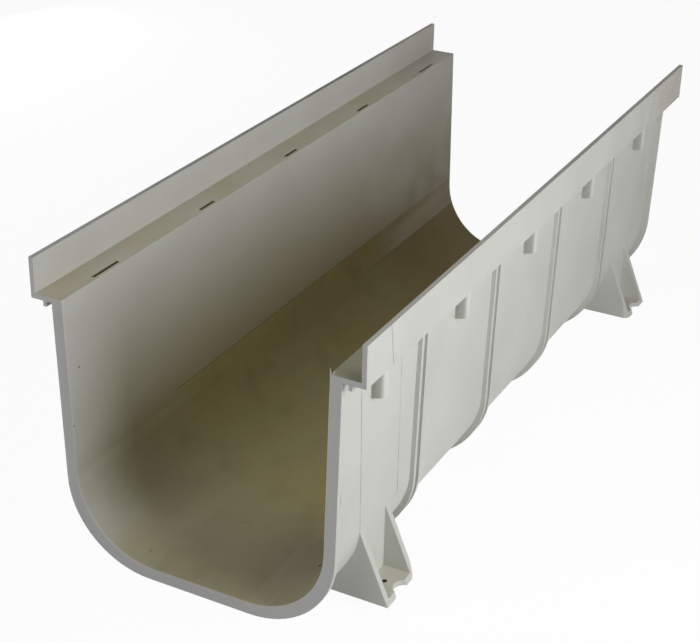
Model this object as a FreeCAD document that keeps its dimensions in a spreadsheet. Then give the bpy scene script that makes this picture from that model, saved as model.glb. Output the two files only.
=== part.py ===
import FreeCAD, Part
import math
import os
import Sketcher

# A straight length of moulded drainage channel. X runs across, Y along the length, Z up.
# The origin is at the bottom centre: z = 0 is the level of the end ribs and the rib belts.

SIZES = {
    # The trough: a U with two ledges and two upstands that take a grating.
    "channel_length": 500,
    "overall_width": 202,
    "seat_height": 163,
    "ledge_width": 17.4,
    "side_draft": 1.2,
    "floor_top": 7.1,
    "corner_radius": 48.3,
    "wall_thickness": 4.2,
    "ledge_thickness": 3,
    "upstand_rise": 21,
    "upstand_thickness": 2.7,
    # The bead that runs along the underside of each ledge.
    "bead_width": 2,
    "bead_drop": 3.2,
    "bead_inset": 7.8,
    # The rib round each end, higher at the +Y end, and the four belts of twin ribs.
    "rib_thickness": 6.8,
    "rib_corner_radius": 52.65,
    "far_rib_thickness": 9.8,
    "far_rib_corner_radius": 60,
    "end_rib_width": 3.5,
    "belt_pitch": 101,
    "belt_rib_width": 2.7,
    "belt_gap": 3.9,
    # The clip slots in the ledges and the half-round sockets below them.
    "clip_pitch": 102,
    "end_clip_inset": 44,
    "clip_edge": 3.1,
    "slot_width": 2.4,
    "slot_length": 16,
    "end_slot_length": 24,
    "socket_length": 9,
    "socket_depth": 22,
    "boss_radius": 5.9,
    "boss_height": 28,
    # The four feet: two gussets, an upright back and a nailed base plate each.
    "foot_centre": 199.4,
    "foot_length": 34.5,
    "foot_top": 50,
    "foot_base": 6.8,
    "foot_plate": 3.4,
    "foot_reach": 18.2,
    "gusset_thickness": 3.8,
    "notch_radius": 7.2,
    "notch_depth": 4.8,
    "nail_hole": 3,
    "nail_reach": 7.5,
    "foot_corner": 5,
}

BELTS = 4
INNER_CLIPS = 3
MARGIN = 2


class Dim:
    """A number that carries the spreadsheet expression it comes from."""

    def __init__(self, number, text):
        self.number = number
        self.text = text

    def _joined(self, other, sign, number):
        return Dim(number, "(%s %s %s)" % (self.text, sign, other.text))

    def __add__(self, other):
        other = dim(other)
        return self._joined(other, "+", self.number + other.number)

    def __sub__(self, other):
        other = dim(other)
        return self._joined(other, "-", self.number - other.number)

    def __mul__(self, other):
        other = dim(other)
        return self._joined(other, "*", self.number * other.number)

    def __truediv__(self, other):
        other = dim(other)
        return self._joined(other, "/", self.number / other.number)

    def __neg__(self):
        return Dim(-self.number, "(0 - %s)" % self.text)


def dim(value):
    return value if isinstance(value, Dim) else Dim(value, repr(value))


def size(name):
    return Dim(SIZES[name], "Sizes." + name)


def cosine(angle):
    return Dim(math.cos(math.radians(angle.number)), "cos(%s * 1 deg)" % angle.text)


def sine(angle):
    return Dim(math.sin(math.radians(angle.number)), "sin(%s * 1 deg)" % angle.text)


def root(value):
    return Dim(math.sqrt(value.number), "sqrt(%s)" % value.text)


def fill_sheet(doc):
    """Write every driving size into the spreadsheet, with its name as the alias."""
    sheet = doc.addObject("Spreadsheet::Sheet", "Sizes")
    for row, (name, number) in enumerate(SIZES.items(), start=1):
        sheet.set("A%d" % row, name)
        sheet.set("B%d" % row, str(number))
        sheet.setAlias("B%d" % row, name)
    doc.recompute()


def origin_part(body, role):
    """One of the body's own origin planes or axes, found by its role."""
    return [item for item in body.Origin.OriginFeatures if item.Role == role][0]


def new_sketch(body, name, role, offset=None):
    """A sketch on an origin plane of the body, moved along its normal by offset."""
    sketch = body.newObject("Sketcher::SketchObject", name)
    sketch.AttachmentSupport = [(origin_part(body, role), "")]
    sketch.MapMode = "FlatFace"
    if offset is not None:
        sketch.setExpression("AttachmentOffset.Base.z", offset.text)
    return sketch


def place(sketch, geometry, point, x, y):
    """Fix one point of a curve by its two distances from the sketch's origin."""
    for kind, axis, value in (("DistanceX", -2, x), ("DistanceY", -1, y)):
        if value.number == 0:
            sketch.addConstraint(Sketcher.Constraint("PointOnObject", geometry, point, axis))
            continue
        made = sketch.addConstraint(
            Sketcher.Constraint(kind, -1, 1, geometry, point, value.number)
        )
        sketch.setExpression("Constraints[%d]" % made, value.text)


def arc_between(start, end, radius, turn):
    """The shorter arc from start to end; turn is 1 anticlockwise and -1 clockwise."""
    chord = end - start
    middle = (start + end) * 0.5
    reach = math.sqrt(max(radius ** 2 - (chord.Length / 2) ** 2, 0))
    side = FreeCAD.Vector(-chord.y, chord.x, 0).normalize()
    centre = middle + side * (reach * turn)
    axis = FreeCAD.Vector(0, 0, 1)
    angles = [math.atan2(end_point.y - centre.y, end_point.x - centre.x)
              for end_point in (start, end)]
    if turn < 0:
        angles.reverse()
    return Part.ArcOfCircle(Part.Circle(centre, axis, radius), angles[0], angles[1])


def draw_outline(sketch, corners):
    """A closed outline through the corners, each (x, y) or (x, y, radius, turn).

    With a radius, the side that leaves the corner is an arc, otherwise it is straight.
    """
    corners = [tuple(dim(value) for value in corner[:2]) + tuple(corner[2:])
               for corner in corners]
    points = [FreeCAD.Vector(corner[0].number, corner[1].number, 0) for corner in corners]
    ends = []
    for index, corner in enumerate(corners):
        start = points[index]
        end = points[(index + 1) % len(points)]
        if len(corner) == 2:
            side = sketch.addGeometry(Part.LineSegment(start, end), False)
            ends.append((side, 1, 2))
            continue
        radius, turn = corner[2:]
        side = sketch.addGeometry(arc_between(start, end, radius.number, turn), False)
        ends.append((side, 1, 2) if turn > 0 else (side, 2, 1))
        made = sketch.addConstraint(Sketcher.Constraint("Radius", side, radius.number))
        sketch.setExpression("Constraints[%d]" % made, radius.text)
    for index, (side, first, last) in enumerate(ends):
        following = ends[(index + 1) % len(ends)]
        sketch.addConstraint(
            Sketcher.Constraint("Coincident", side, last, following[0], following[1])
        )
        place(sketch, side, first, corners[index][0], corners[index][1])


def rectangle(left, bottom, right, top):
    return [(left, bottom), (right, bottom), (right, top), (left, top)]


def draw_circle(sketch, x, y, diameter):
    circle = Part.Circle(
        FreeCAD.Vector(x.number, y.number, 0), FreeCAD.Vector(0, 0, 1), diameter.number / 2
    )
    ring = sketch.addGeometry(circle, False)
    made = sketch.addConstraint(Sketcher.Constraint("Diameter", ring, diameter.number))
    sketch.setExpression("Constraints[%d]" % made, diameter.text)
    place(sketch, ring, 3, x, y)


def extrude(body, kind, name, sketch, length, backwards=False, both_ways=False):
    """A Pad or a Pocket of a sketch; backwards runs it against its usual direction."""
    feature = body.newObject("PartDesign::" + kind, name)
    feature.Profile = sketch
    feature.setExpression("Length", length.text)
    feature.Reversed = backwards
    if both_ways:
        feature.SideType = "Symmetric"
    return feature


def repeat_along(body, name, originals, spacing, count):
    """Copies of features along the channel, towards +Y."""
    pattern = body.newObject("PartDesign::LinearPattern", name)
    pattern.Originals = originals
    pattern.Direction = (origin_part(body, "Y_Axis"), [""])
    pattern.Mode = "Spacing"
    pattern.setExpression("Offset", spacing.text)
    pattern.Occurrences = count
    body.Tip = pattern
    return pattern


def mirror(body, name, originals, role):
    """A mirror copy of some features, or of the whole body where none is named."""
    mirrored = body.newObject("PartDesign::Mirrored", name)
    if originals:
        mirrored.Originals = originals
    else:
        mirrored.TransformMode = "Whole shape"
    mirrored.MirrorPlane = (origin_part(body, role), [""])
    body.Tip = mirrored
    return mirrored


# Lines that several features share.
HALF_LENGTH = size("channel_length") / 2
HALF_WIDTH = size("overall_width") / 2
UPSTAND_INNER = HALF_WIDTH - size("upstand_thickness")
SEAT_EDGE = UPSTAND_INNER - size("ledge_width")
SEAT = size("seat_height")
LEDGE_UNDERSIDE = SEAT - size("ledge_thickness")
DRAFT = size("side_draft")
CORNER_Z = size("floor_top") + size("corner_radius")
CORNER_X = (
    SEAT_EDGE
    - (SEAT - CORNER_Z) * (sine(DRAFT) / cosine(DRAFT))
    - size("corner_radius") / cosine(DRAFT)
)
CLIP_X = SEAT_EDGE + size("clip_edge")


def wall_x(height, offset):
    """Where the side wall's skin, offset outwards from the inner one, meets a height."""
    slope = sine(DRAFT) / cosine(DRAFT)
    return SEAT_EDGE - (SEAT - height) * slope + offset / cosine(DRAFT)


def skin_points(radius):
    """The two ends of a corner arc concentric with the trough's inner corner."""
    at_floor = (CORNER_X, CORNER_Z - radius)
    at_wall = (CORNER_X + radius * cosine(DRAFT), CORNER_Z - radius * sine(DRAFT))
    return at_floor, at_wall


def corner_skin_x(radius, height):
    """Where a corner arc of this radius meets a height below its centre."""
    drop = CORNER_Z - height
    return CORNER_X + root(radius * radius - drop * drop)


def add_trough(body):
    """Half of the U section with its ledge and upstand, run over the whole length."""
    wall = size("wall_thickness")
    inner = size("corner_radius")
    outer = inner + wall
    inner_floor, inner_wall = skin_points(inner)
    outer_floor, outer_wall = skin_points(outer)
    rim = SEAT + size("upstand_rise")
    sketch = new_sketch(body, "trough_section", "XZ_Plane")
    draw_outline(sketch, [
        (0, size("floor_top")),
        inner_floor + (inner, 1),
        inner_wall,
        (SEAT_EDGE, SEAT),
        (UPSTAND_INNER, SEAT),
        (UPSTAND_INNER, rim),
        (HALF_WIDTH, rim),
        (HALF_WIDTH, LEDGE_UNDERSIDE),
        (wall_x(LEDGE_UNDERSIDE, wall), LEDGE_UNDERSIDE),
        outer_wall + (outer, -1),
        outer_floor,
        (0, size("floor_top") - wall),
    ])
    extrude(body, "Pad", "trough", sketch, size("channel_length"), both_ways=True)


def add_bead(body):
    """The small bead that stiffens the underside of the ledge."""
    outer = HALF_WIDTH - size("bead_inset")
    sketch = new_sketch(body, "bead_section", "XZ_Plane")
    draw_outline(sketch, rectangle(
        outer - size("bead_width"),
        LEDGE_UNDERSIDE - size("bead_drop"),
        outer,
        SEAT - size("ledge_thickness") / 2,
    ))
    extrude(body, "Pad", "bead", sketch, size("channel_length"), both_ways=True)


def add_rib(body, name, width, start, thickness, radius):
    """One rib round the outside of the trough, running from start towards +Y.

    Its inner edge is buried at mid wall and its top is buried in the ledge.
    """
    buried = size("corner_radius") + size("wall_thickness") / 2
    buried_floor, buried_wall = skin_points(buried)
    top = SEAT - size("ledge_thickness") / 2
    centre_x = wall_x(radius, thickness) - radius / cosine(DRAFT)
    sketch = new_sketch(body, name + "_section", "XZ_Plane", start)
    draw_outline(sketch, [
        (0, 0),
        (centre_x, 0, radius, 1),
        (centre_x + radius * cosine(DRAFT), radius - radius * sine(DRAFT)),
        (wall_x(top, thickness), top),
        (wall_x(top, size("wall_thickness") / 2), top),
        buried_wall + (buried, -1),
        buried_floor,
        (0, size("floor_top") - size("wall_thickness") / 2),
    ])
    return extrude(body, "Pad", name, sketch, width, backwards=True)


def add_ribs(body):
    """The rib flush with each end, and the belts of twin ribs between them."""
    thickness = size("rib_thickness")
    radius = size("rib_corner_radius")
    width = size("end_rib_width")
    add_rib(body, "near_end_rib", width, HALF_LENGTH, thickness, radius)
    add_rib(body, "far_end_rib", width, width - HALF_LENGTH,
            size("far_rib_thickness"), size("far_rib_corner_radius"))
    width = size("belt_rib_width")
    half_gap = size("belt_gap") / 2
    belt = size("belt_pitch") * ((BELTS - 1) / 2)
    twins = [
        add_rib(body, "belt_rib_near", width, belt + half_gap + width, thickness, radius),
        add_rib(body, "belt_rib_far", width, belt - half_gap, thickness, radius),
    ]
    repeat_along(body, "belts", twins, size("belt_pitch"), BELTS)


def add_boss(body, name, centre):
    """The half-round boss that holds a clip socket, outside the wall under the ledge."""
    radius = size("boss_radius")
    wall = size("wall_thickness")
    skin = wall_x(LEDGE_UNDERSIDE, wall)
    buried = skin - wall / 2
    bottom = LEDGE_UNDERSIDE - size("boss_height")
    sketch = new_sketch(body, name + "_plan", "XY_Plane", bottom)
    draw_outline(sketch, [
        (buried, centre - radius),
        (skin, centre - radius, radius, 1),
        (skin + radius, centre, radius, 1),
        (skin, centre + radius),
        (buried, centre + radius),
    ])
    height = size("boss_height") + size("ledge_thickness") / 2
    return extrude(body, "Pad", name, sketch, height)


def cut_slot(body, name, centre, length, depth):
    """A slot along the ledge, cut down from its seat."""
    half = size("slot_width") / 2
    sketch = new_sketch(body, name + "_plan", "XY_Plane", SEAT)
    draw_outline(sketch, rectangle(
        CLIP_X - half, centre - length / 2, CLIP_X + half, centre + length / 2
    ))
    return extrude(body, "Pocket", name, sketch, depth)


def add_clips(body):
    """Where the grating's clips go: a boss, a socket in it and a slot above, five times.

    The middle three are evenly spaced; the two end ones are set in from the ends.
    """
    pitch = size("clip_pitch")
    end = size("end_clip_inset") - HALF_LENGTH
    first = -(pitch * ((INNER_CLIPS - 1) / 2))
    for name, centre, slot in (
        ("inner", first, size("slot_length")), ("end", end, size("end_slot_length"))
    ):
        features = [
            add_boss(body, name + "_boss", centre),
            cut_slot(body, name + "_socket", centre, size("socket_length"), size("socket_depth")),
            cut_slot(body, name + "_slot", centre, slot, size("ledge_thickness")),
        ]
        if name == "inner":
            repeat_along(body, "inner_clips", features, pitch, INNER_CLIPS)
        else:
            mirror(body, "end_clips", features, "XZ_Plane")


def add_feet(body):
    """A foot near each end: two sloping gussets, an upright back and a base plate.

    The foot is open below behind its back plate, where the mould's core comes out.
    """
    base = size("foot_base")
    top = size("foot_top")
    gusset = size("gusset_thickness")
    outer_end = size("foot_centre") + size("foot_length") / 2
    inner_end = size("foot_centre") - size("foot_length") / 2
    buried = size("corner_radius") + size("wall_thickness") / 2
    back = corner_skin_x(size("corner_radius") + size("wall_thickness"), top)
    tip = back + size("foot_reach")
    slope = size("foot_reach") / (top - base)

    gussets = []
    for name, start in (("gusset_end", outer_end), ("gusset_inner", inner_end + gusset)):
        sketch = new_sketch(body, name + "_section", "XZ_Plane", start)
        draw_outline(sketch, [
            (corner_skin_x(buried, base), base),
            (tip, base),
            (back, top),
            (corner_skin_x(buried, top), top, buried, -1),
        ])
        gussets.append(extrude(body, "Pad", name, sketch, gusset, backwards=True))

    sketch = new_sketch(body, "foot_section", "XZ_Plane", outer_end)
    draw_outline(sketch, [
        (back - size("foot_plate"), base),
        (tip, base),
        (tip - size("foot_plate") * slope, base + size("foot_plate")),
        (back, base + size("foot_plate")),
        (back, top),
        (back - size("foot_plate"), top),
    ])
    tray = extrude(body, "Pad", "foot_tray", sketch, size("foot_length"), backwards=True)

    middle = -size("foot_centre")
    sketch = new_sketch(body, "notch_plan", "XY_Plane", base)
    centre = tip - size("notch_depth") + size("notch_radius")
    draw_circle(sketch, centre, middle, size("notch_radius") * 2)
    notch = extrude(body, "Pocket", "notch", sketch, size("foot_plate"), backwards=True)

    sketch = new_sketch(body, "nail_plan", "XY_Plane", base)
    draw_circle(sketch, back + size("nail_reach"), middle, size("nail_hole"))
    nail = extrude(body, "Pocket", "nail", sketch, size("foot_plate"), backwards=True)

    radius = size("foot_corner")
    edge = -inner_end
    sketch = new_sketch(body, "corner_plan", "XY_Plane", base)
    draw_outline(sketch, [
        (tip, edge - radius, radius, 1),
        (tip - radius, edge),
        (tip - radius, edge + MARGIN),
        (tip + MARGIN, edge + MARGIN),
        (tip + MARGIN, edge - radius),
    ])
    corner = extrude(body, "Pocket", "foot_corner", sketch, top - base, backwards=True)
    mirror(body, "feet", gussets + [tray, notch, nail, corner], "XZ_Plane")


def build_channel(doc):
    body = doc.addObject("PartDesign::Body", "channel_body")
    body.Label = "channel_body"
    add_trough(body)
    add_bead(body)
    add_ribs(body)
    add_clips(body)
    add_feet(body)
    doc.recompute()
    mirror(body, "channel", [], "YZ_Plane")
    body.Placement = FreeCAD.Placement()
    return body


def check(doc, body):
    """Stop if any object failed or if the finished part isn't one valid solid."""
    for item in doc.Objects:
        if {"Invalid", "Error"} & set(item.State):
            raise RuntimeError("%s failed: %s" % (item.Name, item.State))
    shape = body.Shape
    if shape.isNull() or not shape.isValid() or len(shape.Solids) != 1:
        raise RuntimeError("%s isn't one valid solid" % body.Label)


def main():
    os.makedirs("parts", exist_ok=True)
    doc = FreeCAD.newDocument("drainage_channel")
    fill_sheet(doc)
    body = build_channel(doc)
    doc.recompute()
    check(doc, body)
    body.Shape.exportStep("parts/%s.step" % body.Label)
    box = body.Shape.BoundBox
    print("size %.2f x %.2f x %.2f mm" % (box.XLength, box.YLength, box.ZLength))
    print("volume %.1f cm3" % (body.Shape.Volume / 1000))


main()
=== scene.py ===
import math

import bpy
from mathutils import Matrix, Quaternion, Vector


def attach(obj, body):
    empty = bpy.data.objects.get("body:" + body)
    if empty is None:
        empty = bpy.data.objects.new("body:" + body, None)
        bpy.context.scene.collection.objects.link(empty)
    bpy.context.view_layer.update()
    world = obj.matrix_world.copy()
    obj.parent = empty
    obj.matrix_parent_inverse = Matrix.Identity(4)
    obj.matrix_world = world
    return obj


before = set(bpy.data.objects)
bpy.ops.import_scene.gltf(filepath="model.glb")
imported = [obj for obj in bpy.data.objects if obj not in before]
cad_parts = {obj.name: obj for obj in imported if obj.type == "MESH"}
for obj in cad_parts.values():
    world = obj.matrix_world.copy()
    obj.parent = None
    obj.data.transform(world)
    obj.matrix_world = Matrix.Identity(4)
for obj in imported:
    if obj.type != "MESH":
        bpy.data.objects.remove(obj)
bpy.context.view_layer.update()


# ---- The channel body -----------------------------------------------------------------
# One injection moulding in off-white rigid plastic: trough, ledges, upstands, rib belts,
# clip sockets and feet. The outside is clean and matt with fine mould lines; standing
# water and dust have stained the trough olive, and the ends are saw-cut.

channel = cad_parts["channel_body"]
plastic = bpy.data.materials.new("moulded_plastic")
plastic.use_nodes = True
tree = plastic.node_tree
tree.nodes.clear()


def feed(sockets, values):
    """Sets each socket to its value, or links it when the value is a socket."""
    for socket, value in zip(sockets, values):
        if isinstance(value, bpy.types.NodeSocket):
            tree.links.new(value, socket)
        else:
            socket.default_value = value


def add(kind, **values):
    """A shader node, with the inputs of those names fed."""
    node = tree.nodes.new(kind)
    feed([node.inputs[name.replace("_", " ")] for name in values], values.values())
    return node


def maths(operation, *values):
    """A Math node on numbers or sockets."""
    node = tree.nodes.new("ShaderNodeMath")
    node.operation = operation
    feed(node.inputs, values)
    return node.outputs[0]


def fade(value, start, end, low=0.0, high=1.0):
    """Eases from low to high while the value goes from start to end."""
    node = tree.nodes.new("ShaderNodeMapRange")
    node.interpolation_type = "SMOOTHSTEP"
    feed(node.inputs, (value, start, end, low, high))
    return node.outputs[0]


def band(value, low, high, blur):
    """1 while the value is between low and high, easing to 0 over the blur outside."""
    return maths("MULTIPLY", fade(value, low - blur, low), fade(value, high + blur, high))


def both(*masks):
    """The product of the masks."""
    result = masks[0]
    for mask in masks[1:]:
        result = maths("MULTIPLY", result, mask)
    return result


def apart(value, other):
    """How far two values are apart."""
    return maths("ABSOLUTE", maths("SUBTRACT", value, other))


def length(x, y):
    """The length of the line from 0, 0 to x, y."""
    return maths("SQRT", maths("ADD", maths("MULTIPLY", x, x), maths("MULTIPLY", y, y)))


def clouds(scale, detail=3.0, stretch=(1.0, 1.0, 1.0)):
    """Noise fixed to the moulding, in metres; stretch scales its three axes."""
    moved = add("ShaderNodeMapping", Vector=place.outputs["Object"], Scale=stretch)
    noise = add("ShaderNodeTexNoise", Vector=moved.outputs[0], Scale=scale, Detail=detail)
    return noise.outputs["Fac"]


def tint(colour, other, amount):
    """The first colour, going over to the other by the amount."""
    node = tree.nodes.new("ShaderNodeMix")
    node.data_type = "RGBA"
    feed((node.inputs[0], node.inputs[6], node.inputs[7]), (amount, colour, other))
    return node.outputs[2]


def spot(centre, radius, blur):
    """1 within the radius of a point, easing to 0 over the blur."""
    node = tree.nodes.new("ShaderNodeVectorMath")
    node.operation = "DISTANCE"
    feed(node.inputs, (place.outputs["Object"], centre))
    return fade(node.outputs["Value"], radius + blur, radius)


# Sizes of the moulding that the finish follows, in metres. Sideways sizes are from the
# middle of the trough, lengthways ones from the middle of its length.
FLOOR_HALF, CORNER_TOP, CORNER_RADIUS = 0.0303, 0.0554, 0.0483
WALL_LEAN = 0.021
LEDGE_INNER, LEDGE_OUTER, LEDGE_TOP = 0.0811, 0.0984, 0.1630
UPSTAND_OUTER, RIM_TOP, END = 0.1010, 0.1840, 0.2500
SLOT_INNER, SLOT_OUTER, SLOT_HALF = 0.0826, 0.0854, 0.0124
SOCKET_BOTTOM, SOCKET_HALF = 0.1410, 0.0046
INNER_CLIP, END_CLIP = 0.102, 0.206
BOSS_BOTTOM, BOSS_TOP, BOSS_HALF = 0.1318, 0.1598, 0.0060
HOLE_SIDE, HOLE_ALONG, HOLE_RADIUS = 0.09005, 0.19940, 0.0015
PLATE_TOP = 0.0110
STAIN_EDGE, LOW_STAIN_EDGE = 0.0600, 0.0390

place = add("ShaderNodeTexCoord")
across, along, height = add("ShaderNodeSeparateXYZ", Vector=place.outputs["Object"]).outputs
facing = add("ShaderNodeSeparateXYZ", Vector=place.outputs["Normal"]).outputs
side = maths("ABSOLUTE", across)
from_middle = maths("ABSOLUTE", along)

# How far a point lies outside the trough's inner skin: 0 on it, 4 mm or so on the outside.
past_floor = maths("MAXIMUM", maths("SUBTRACT", side, FLOOR_HALF), 0.0)
under_wall = maths("MAXIMUM", maths("SUBTRACT", CORNER_TOP, height), 0.0)
up_wall = maths("MAXIMUM", maths("SUBTRACT", height, CORNER_TOP), 0.0)
off_skin = maths("SUBTRACT",
                 maths("SUBTRACT", length(past_floor, under_wall), CORNER_RADIUS),
                 maths("MULTIPLY", up_wall, WALL_LEAN))
inside = fade(off_skin, 0.0016, 0.0006)
outside = fade(off_skin, 0.0026, 0.0034)

clean = (0.665, 0.670, 0.625, 1.0)
cloudy = (0.635, 0.640, 0.595, 1.0)
colour = tint(clean, cloudy, fade(clouds(22.0), 0.35, 0.70))

# The film on the inner walls deepens downwards. Below a faint edge in each wall, which is
# soft near the open end, the trough is olive, and browner towards the far end; there that
# edge fades and a lower one takes over. The left wall is washed clean at the open end.
film = tint((0.610, 0.565, 0.420, 1.0), (0.590, 0.535, 0.390, 1.0), fade(along, 0.090, 0.200))
olive = tint((0.460, 0.425, 0.262, 1.0), (0.585, 0.515, 0.235, 1.0), fade(along, -0.215, -0.120))
olive = tint(olive, (0.545, 0.460, 0.195, 1.0), fade(along, -0.100, 0.130))
olive = tint(olive, (0.410, 0.320, 0.122, 1.0), fade(along, 0.090, 0.170))
mottling = both(fade(clouds(46.0, 5.0), 0.48, 0.72), 0.30)
olive = tint(olive, (0.330, 0.270, 0.150, 1.0), mottling)
blotches = fade(clouds(14.0, 4.0), 0.25, 0.75, 0.80, 1.0)
streaks = fade(clouds(90.0, 4.0, (1.0, 0.12, 1.0)), 0.30, 0.70, 0.90, 1.0)
edge_blur = fade(along, -0.170, -0.110, 0.0200, 0.0004)
below_edge = maths("SUBTRACT", STAIN_EDGE, height)
stain = maths("MAXIMUM",
              both(fade(below_edge, maths("MULTIPLY", edge_blur, -1.0), edge_blur),
                   fade(along, 0.165, 0.095, 0.75, 1.0)),
              fade(height, LOW_STAIN_EDGE + 0.0004, LOW_STAIN_EDGE - 0.0004))
washed = both(fade(across, -0.045, -0.068), fade(along, -END, -0.195, 0.80, 0.0))
unwashed = maths("SUBTRACT", 1.0, washed)
colour = tint(colour, film, both(inside, fade(height, 0.165, 0.070), blotches, unwashed))
colour = tint(colour, olive, both(inside, stain, blotches, streaks, unwashed))

# Dust on the ledges and the feet, in patches, and solid at both ends of the ledges.
dust = tint((0.535, 0.530, 0.355, 1.0), (0.580, 0.530, 0.400, 1.0),
            fade(clouds(19.0, 2.0), 0.44, 0.56))
level = fade(facing["Z"], 0.80, 0.95)
on_ledge = both(level, band(side, LEDGE_INNER, LEDGE_OUTER, 0.0005),
                band(height, LEDGE_TOP - 0.0010, LEDGE_TOP + 0.0010, 0.0004))
on_foot = both(level, fade(side, SLOT_INNER, SLOT_INNER + 0.0004),
               fade(height, PLATE_TOP + 0.0010, PLATE_TOP), 0.5)
patches = maths("MAXIMUM", fade(clouds(35.0), 0.2, 0.8, 0.6, 1.0),
                fade(from_middle, 0.150, 0.230))
colour = tint(colour, dust, both(maths("MAXIMUM", on_ledge, on_foot), patches))

# Painted shade inside the clip slots, which are longer in the ledge than in the boss below it.
slot_shade = (0.260, 0.232, 0.120, 1.0)
from_clip = maths("MINIMUM", from_middle, apart(from_middle, INNER_CLIP))
from_clip = maths("MINIMUM", from_clip, apart(from_middle, END_CLIP))
half_slot = fade(height, BOSS_TOP - 0.0001, BOSS_TOP + 0.0001, SOCKET_HALF, SLOT_HALF)
in_slot = both(band(side, SLOT_INNER, SLOT_OUTER, 0.0001),
               band(height, SOCKET_BOTTOM, LEDGE_TOP - 0.0004, 0.0004),
               fade(from_clip, maths("ADD", half_slot, 0.0002), half_slot))
colour = tint(colour, slot_shade, in_slot)

# Painted shade along the upstands' top edges, and painted shade on their far ends.
rim_top_shade = both(fade(height, RIM_TOP - 0.0004, RIM_TOP - 0.0001), fade(along, -END, 0.10, 0.35, 0.85),
           fade(across, -0.05, 0.05, 1.0, 0.6))
colour = tint(colour, (0.200, 0.195, 0.155, 1.0), rim_top_shade)
# Painted shade, darker towards the far ends of the upstands.
far_end_shade = both(fade(height, 0.1350, 0.1640), fade(along, 0.120, END))
colour = tint(colour, (0.560, 0.535, 0.475, 1.0), far_end_shade)

# Painted shade in the nail holes.
from_hole = length(maths("SUBTRACT", side, HOLE_SIDE), maths("SUBTRACT", from_middle, HOLE_ALONG))
in_hole = both(fade(from_hole, HOLE_RADIUS + 0.0001, HOLE_RADIUS),
               fade(height, PLATE_TOP + 0.0010, PLATE_TOP))
colour = tint(colour, (0.090, 0.085, 0.070, 1.0), in_hole)

# Darker in the corner of the right ledge and upstand, at the near end.
corner = both(spot((0.0975, -0.2470, 0.1640), 0.003, 0.014),
              fade(height, LEDGE_TOP - 0.0010, LEDGE_TOP - 0.0005),
              fade(side, 0.0996, 0.0988), 0.6)
colour = tint(colour, (0.200, 0.190, 0.160, 1.0), corner)

# The bosses of the clip sockets: painted highlight outside, painted shade on near flanks.
boss = both(band(height, BOSS_BOTTOM, BOSS_TOP, 0.0003),
            fade(from_clip, BOSS_HALF + 0.0004, BOSS_HALF))
colour = tint(colour, (0.750, 0.755, 0.710, 1.0), both(boss, fade(side, 0.0880, 0.0892)))
flank_shade = both(boss, fade(facing["Y"], -0.25, -0.70), fade(side, 0.0848, 0.0853))
colour = tint(colour, (0.400, 0.400, 0.360, 1.0), flank_shade)

# Thin mould lines down the outside, in line with the gussets of the foot, a scratch on
# the upstand and a short one by the end rib; then painted highlights, pale lines for edges
# that catch the light, two of them by the far end.
# Each row is where the line starts, its slope, its top, its bottom, its half width and how
# strong it is.
wander = maths("MULTIPLY", maths("SUBTRACT", clouds(30.0), 0.5), 0.0012)
gaps = fade(clouds(70.0, 3.0), 0.35, 0.60, 0.45, 1.0)


def mould_line(start, slope, top, bottom, width):
    """A line down the outside, on the upstand when it starts above the wall."""
    down = maths("SUBTRACT", top, height)
    line = maths("ADD", maths("MULTIPLY_ADD", down, slope, start), wander)
    shown = outside
    if top > LEDGE_TOP:
        shown = both(outside, fade(side, UPSTAND_OUTER - 0.0010, UPSTAND_OUTER - 0.0004))
    return both(fade(apart(along, line), width, width * 0.4), band(height, bottom, top, 0.002),
                shown)


for start, slope, top, bottom, width, strength in (
    (-0.2235, 0.066, 0.1560, 0.0500, 0.00060, 0.85),
    (-0.1768, 0.046, 0.1560, 0.0500, 0.00060, 0.75),
    (-0.2240, 0.157, 0.1835, 0.1605, 0.00045, 0.90),
    (-0.2419, 0.070, 0.0960, 0.0835, 0.00060, 0.95),
):
    colour = tint(colour, (0.290, 0.295, 0.255, 1.0),
                  both(mould_line(start, slope, top, bottom, width), gaps, strength))
# Painted highlights: pale lines where edges catch the light.
for start, slope, top, bottom, width, strength in (
    (0.1795, -0.400, 0.1835, 0.1605, 0.00120, 1.0),
    (0.2375, 0.100, 0.1560, 0.1000, 0.00120, 1.0),
    (-0.2175, 0.150, 0.1820, 0.1605, 0.00070, 0.4),
):
    colour = tint(colour, (0.740, 0.735, 0.700, 1.0),
                  both(mould_line(start, slope, top, bottom, width), strength))

# A fine line along each edge of the stain, a painted highlight above it and dark below.
for edge, shown, strength in ((STAIN_EDGE, band(along, -0.145, 0.145, 0.010), 0.35),
                              (LOW_STAIN_EDGE, fade(along, 0.080, 0.130), 0.10)):
    above = band(height, edge + 0.0003, edge + 0.0009, 0.0004)
    below = band(height, edge - 0.0007, edge - 0.0001, 0.0004)
    colour = tint(colour, (0.640, 0.600, 0.440, 1.0), both(inside, shown, above, strength))
    colour = tint(colour, (0.250, 0.205, 0.090, 1.0), both(inside, shown, below, 0.45))

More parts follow.
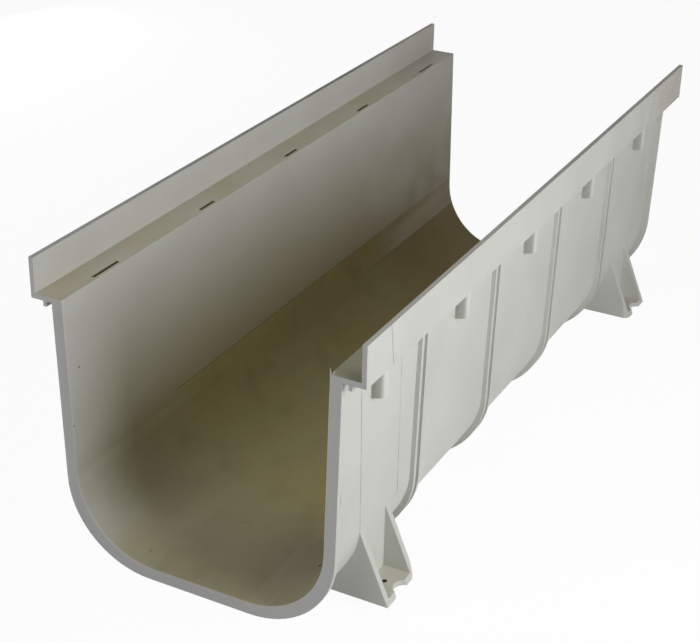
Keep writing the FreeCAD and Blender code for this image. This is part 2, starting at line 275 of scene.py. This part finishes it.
# Dirt in the near end of the trough: faint hairlines, a soft smudge and a few specks.
near_floor = both(inside, fade(height, 0.020, 0.012), band(along, -0.240, -0.150, 0.010),
                  fade(side, 0.045, 0.035))
hairlines = both(near_floor, fade(apart(clouds(55.0, 1.5), 0.52), 0.0040, 0.0010),
                 fade(clouds(38.0, 1.0), 0.56, 0.62), 0.30)
colour = tint(colour, (0.200, 0.170, 0.090, 1.0), hairlines)
smudge = both(inside, spot((0.047, -0.196, 0.010), 0.004, 0.050),
              fade(clouds(26.0, 3.0), 0.25, 0.75, 0.55, 1.0), 0.80)
colour = tint(colour, (0.270, 0.225, 0.180, 1.0), smudge)
for centre, radius, shade in (
    ((0.0540, -0.2082, 0.0133), 0.0009, (0.090, 0.022, 0.015, 1.0)),
    ((-0.0793, -0.2492, 0.0857), 0.0005, (0.150, 0.125, 0.090, 1.0)),
    ((-0.0800, -0.2402, 0.1186), 0.0005, (0.200, 0.170, 0.130, 1.0)),
    ((-0.0405, -0.2368, 0.0082), 0.0005, (0.300, 0.265, 0.190, 1.0)),
    ((-0.0711, -0.1950, 0.0312), 0.0007, (0.230, 0.200, 0.110, 1.0)),
):
    colour = tint(colour, shade, spot(centre, radius, 0.0004))

# The saw-cut ends are a shade greyer, paler on the left, with a painted highlight along
# the inner edge.
cut = fade(from_middle, END - 0.00010, END - 0.00004)
sawn = tint((0.655, 0.660, 0.650, 1.0), (0.735, 0.735, 0.705, 1.0), fade(across, -0.076, -0.090))
colour = tint(colour, sawn, cut)
edge_highlight = both(fade(from_middle, END - 0.0011, END - 0.0007),
                 band(off_skin, -0.0004, 0.0004, 0.0002), 0.7)
colour = tint(colour, (0.760, 0.755, 0.720, 1.0), edge_highlight)

# Relief: the mould's grain, strokes of the saw across the ends, the lip at the stain's
# edge and a soft ripple. The stained part is rougher.
strokes = clouds(420.0, 2.0, (1.0, 1.0, 0.15))
lip = both(inside, fade(height, STAIN_EDGE + 0.0006, STAIN_EDGE - 0.0006),
           band(along, -0.145, 0.145, 0.020))
grained = add("ShaderNodeBump", Strength=0.12, Distance=0.0004, Height=clouds(900.0, 2.0))
stroked = add("ShaderNodeBump", Strength=0.25, Distance=0.0003, Height=both(cut, strokes),
              Normal=grained.outputs[0])
lipped = add("ShaderNodeBump", Strength=0.6, Distance=0.0004, Height=lip,
             Normal=stroked.outputs[0])
rippled = add("ShaderNodeBump", Strength=0.15, Distance=0.0012, Height=clouds(60.0, 2.0),
              Normal=lipped.outputs[0])
roughness = maths("MAXIMUM", fade(clouds(40.0), 0.3, 0.7, 0.50, 0.62), both(inside, stain, 0.74))
shader = add("ShaderNodeBsdfPrincipled", Base_Color=colour, Roughness=roughness,
             Normal=rippled.outputs[0])
shader.inputs["Specular IOR Level"].default_value = 0.35
add("ShaderNodeOutputMaterial", Surface=shader.outputs[0])

channel.data.materials.clear()
channel.data.materials.append(plastic)

# The faces are joined along their edges, and the edges then get a fine round.
joining = channel.modifiers.new("mould_joining", "WELD")
joining.merge_threshold = 0.00001
rounding = channel.modifiers.new("mould_rounding", "BEVEL")
rounding.width = 0.00045
rounding.segments = 2
rounding.limit_method = "ANGLE"
rounding.angle_limit = math.radians(40.0)
rounding.harden_normals = True


# ---- The saw burrs --------------------------------------------------------------------
# Slivers of the channel's own plastic that the saw left standing at the inner corner of
# the right ledge, at the near end. Each is a thin bent flag, rooted in the ledge.

BURR_THICKNESS = 0.00030


def burr(name, root, tip, width):
    """A flag that tapers and bends from its root to its tip, both at its middle."""
    root, tip = Vector(root), Vector(tip)
    rise = tip - root
    bend = Vector((0.0, 0.0, 1.0)) * rise.length * 0.15
    rows = []
    for share, taper in ((0.0, 1.0), (0.35, 0.72), (0.70, 0.40), (1.0, 0.08)):
        centre = root + rise * share + bend * math.sin(math.pi * share)
        half = Vector((width / 2.0 * taper, 0.0, 0.0))
        thick = Vector((0.0, BURR_THICKNESS / 2.0 * max(taper, 0.3), 0.0))
        rows += [centre - half - thick, centre + half - thick,
                 centre + half + thick, centre - half + thick]
    faces = [(3, 2, 1, 0), (12, 13, 14, 15)]
    for row in range(0, 12, 4):
        for corner in range(4):
            after = (corner + 1) % 4
            faces.append((row + corner, row + after, row + 4 + after, row + 4 + corner))
    mesh = bpy.data.meshes.new(name)
    mesh.from_pydata(rows, [], faces)
    mesh.materials.append(plastic)
    piece = bpy.data.objects.new(name, mesh)
    bpy.context.scene.collection.objects.link(piece)
    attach(piece, "root")


burr("saw_burr_tall", (0.0812, -0.2495, 0.1625), (0.0805, -0.2493, 0.1664), 0.0009)
burr("saw_burr_leaning", (0.0822, -0.2495, 0.1625), (0.0838, -0.2492, 0.1656), 0.0011)
burr("saw_burr_short", (0.0817, -0.2480, 0.1625), (0.0821, -0.2478, 0.1644), 0.0010)


# ---- The studio -----------------------------------------------------------------------
# A white floor, a soft lamp on the right, one high in front, and a low one behind on the
# left, below the tops of the walls, for the side away from the others. The floor and the
# world look plain white, and light the part only as much as paper would.


def seen_plain():
    """1 on the rays for which the studio is plain white, and 0 on those that light the part."""
    rays = add("ShaderNodeLightPath").outputs
    return maths("MAXIMUM", rays["Is Camera Ray"],
                 maths("MAXIMUM", rays["Is Glossy Ray"], rays["Is Transmission Ray"]))


def mixed(share, first, second):
    """The first shader, going over to the second by the share."""
    node = add("ShaderNodeMixShader", Fac=share)
    tree.links.new(first.outputs[0], node.inputs[1])
    tree.links.new(second.outputs[0], node.inputs[2])
    return node.outputs[0]


bpy.ops.mesh.primitive_plane_add(size=12.0, location=(0.0, 0.0, -0.0003))
floor = bpy.context.object
floor.name = "studio_floor"
paper = bpy.data.materials.new("studio_paper")
paper.use_nodes = True
tree = paper.node_tree
tree.nodes.clear()
matt = add("ShaderNodeBsdfDiffuse", Color=(0.80, 0.80, 0.79, 1.0))
glow = add("ShaderNodeEmission", Color=(1.0, 1.0, 1.0, 1.0), Strength=1.03)
add("ShaderNodeOutputMaterial", Surface=mixed(maths("MULTIPLY", seen_plain(), 0.92), matt, glow))
floor.data.materials.append(paper)

world = bpy.data.worlds.new("studio_world")
bpy.context.scene.world = world
world.use_nodes = True
tree = world.node_tree
tree.nodes.clear()
fill = add("ShaderNodeBackground", Color=(1.0, 1.0, 1.0, 1.0), Strength=0.01)
white = add("ShaderNodeBackground", Color=(1.0, 1.0, 1.0, 1.0), Strength=1.0)
add("ShaderNodeOutputWorld", Surface=mixed(seen_plain(), fill, white))


def soft_lamp(name, stand, target, width, depth, power):
    """A white rectangular lamp that faces its target."""
    data = bpy.data.lights.new(name, "AREA")
    data.shape = "RECTANGLE"
    data.size = width
    data.size_y = depth
    data.energy = power
    lamp = bpy.data.objects.new(name, data)
    bpy.context.scene.collection.objects.link(lamp)
    lamp.location = stand
    lamp.rotation_mode = "QUATERNION"
    lamp.rotation_quaternion = (Vector(target) - Vector(stand)).to_track_quat("-Z", "Y")


soft_lamp("side_lamp", (0.746, -0.245, 0.407), (0.0, -0.10, 0.10), 0.45, 0.45, 4.0)
soft_lamp("front_lamp", (-0.242, -1.070, 1.066), (0.0, -0.10, 0.10), 0.80, 0.80, 4.9)
soft_lamp("back_lamp", (-0.900, 0.300, 0.095), (0.0, 0.0, 0.095), 0.70, 0.14, 3.2)


# ---- The camera -----------------------------------------------------------------------
# It looks down the channel from above its near right end, with a hair of roll.

camera_data = bpy.data.cameras.new("camera")
camera = bpy.data.objects.new("camera", camera_data)
bpy.context.scene.collection.objects.link(camera)
bpy.context.scene.camera = camera
camera_data.sensor_width = 36.0
camera_data.lens = 81.32
camera_data.clip_start = 0.05
camera_data.clip_end = 50.0
turn = math.radians(27.30)
dip = math.radians(27.14)
aim = Vector((-math.sin(turn) * math.cos(dip), math.cos(turn) * math.cos(dip), -math.sin(dip)))
camera.location = (0.3983, -0.8449, 0.5382)
camera.rotation_mode = "QUATERNION"
camera.rotation_quaternion = (
    aim.to_track_quat("-Z", "Y") @ Quaternion((0.0, 0.0, 1.0), math.radians(1.19))
)

bpy.context.scene.view_settings.view_transform = "Standard"
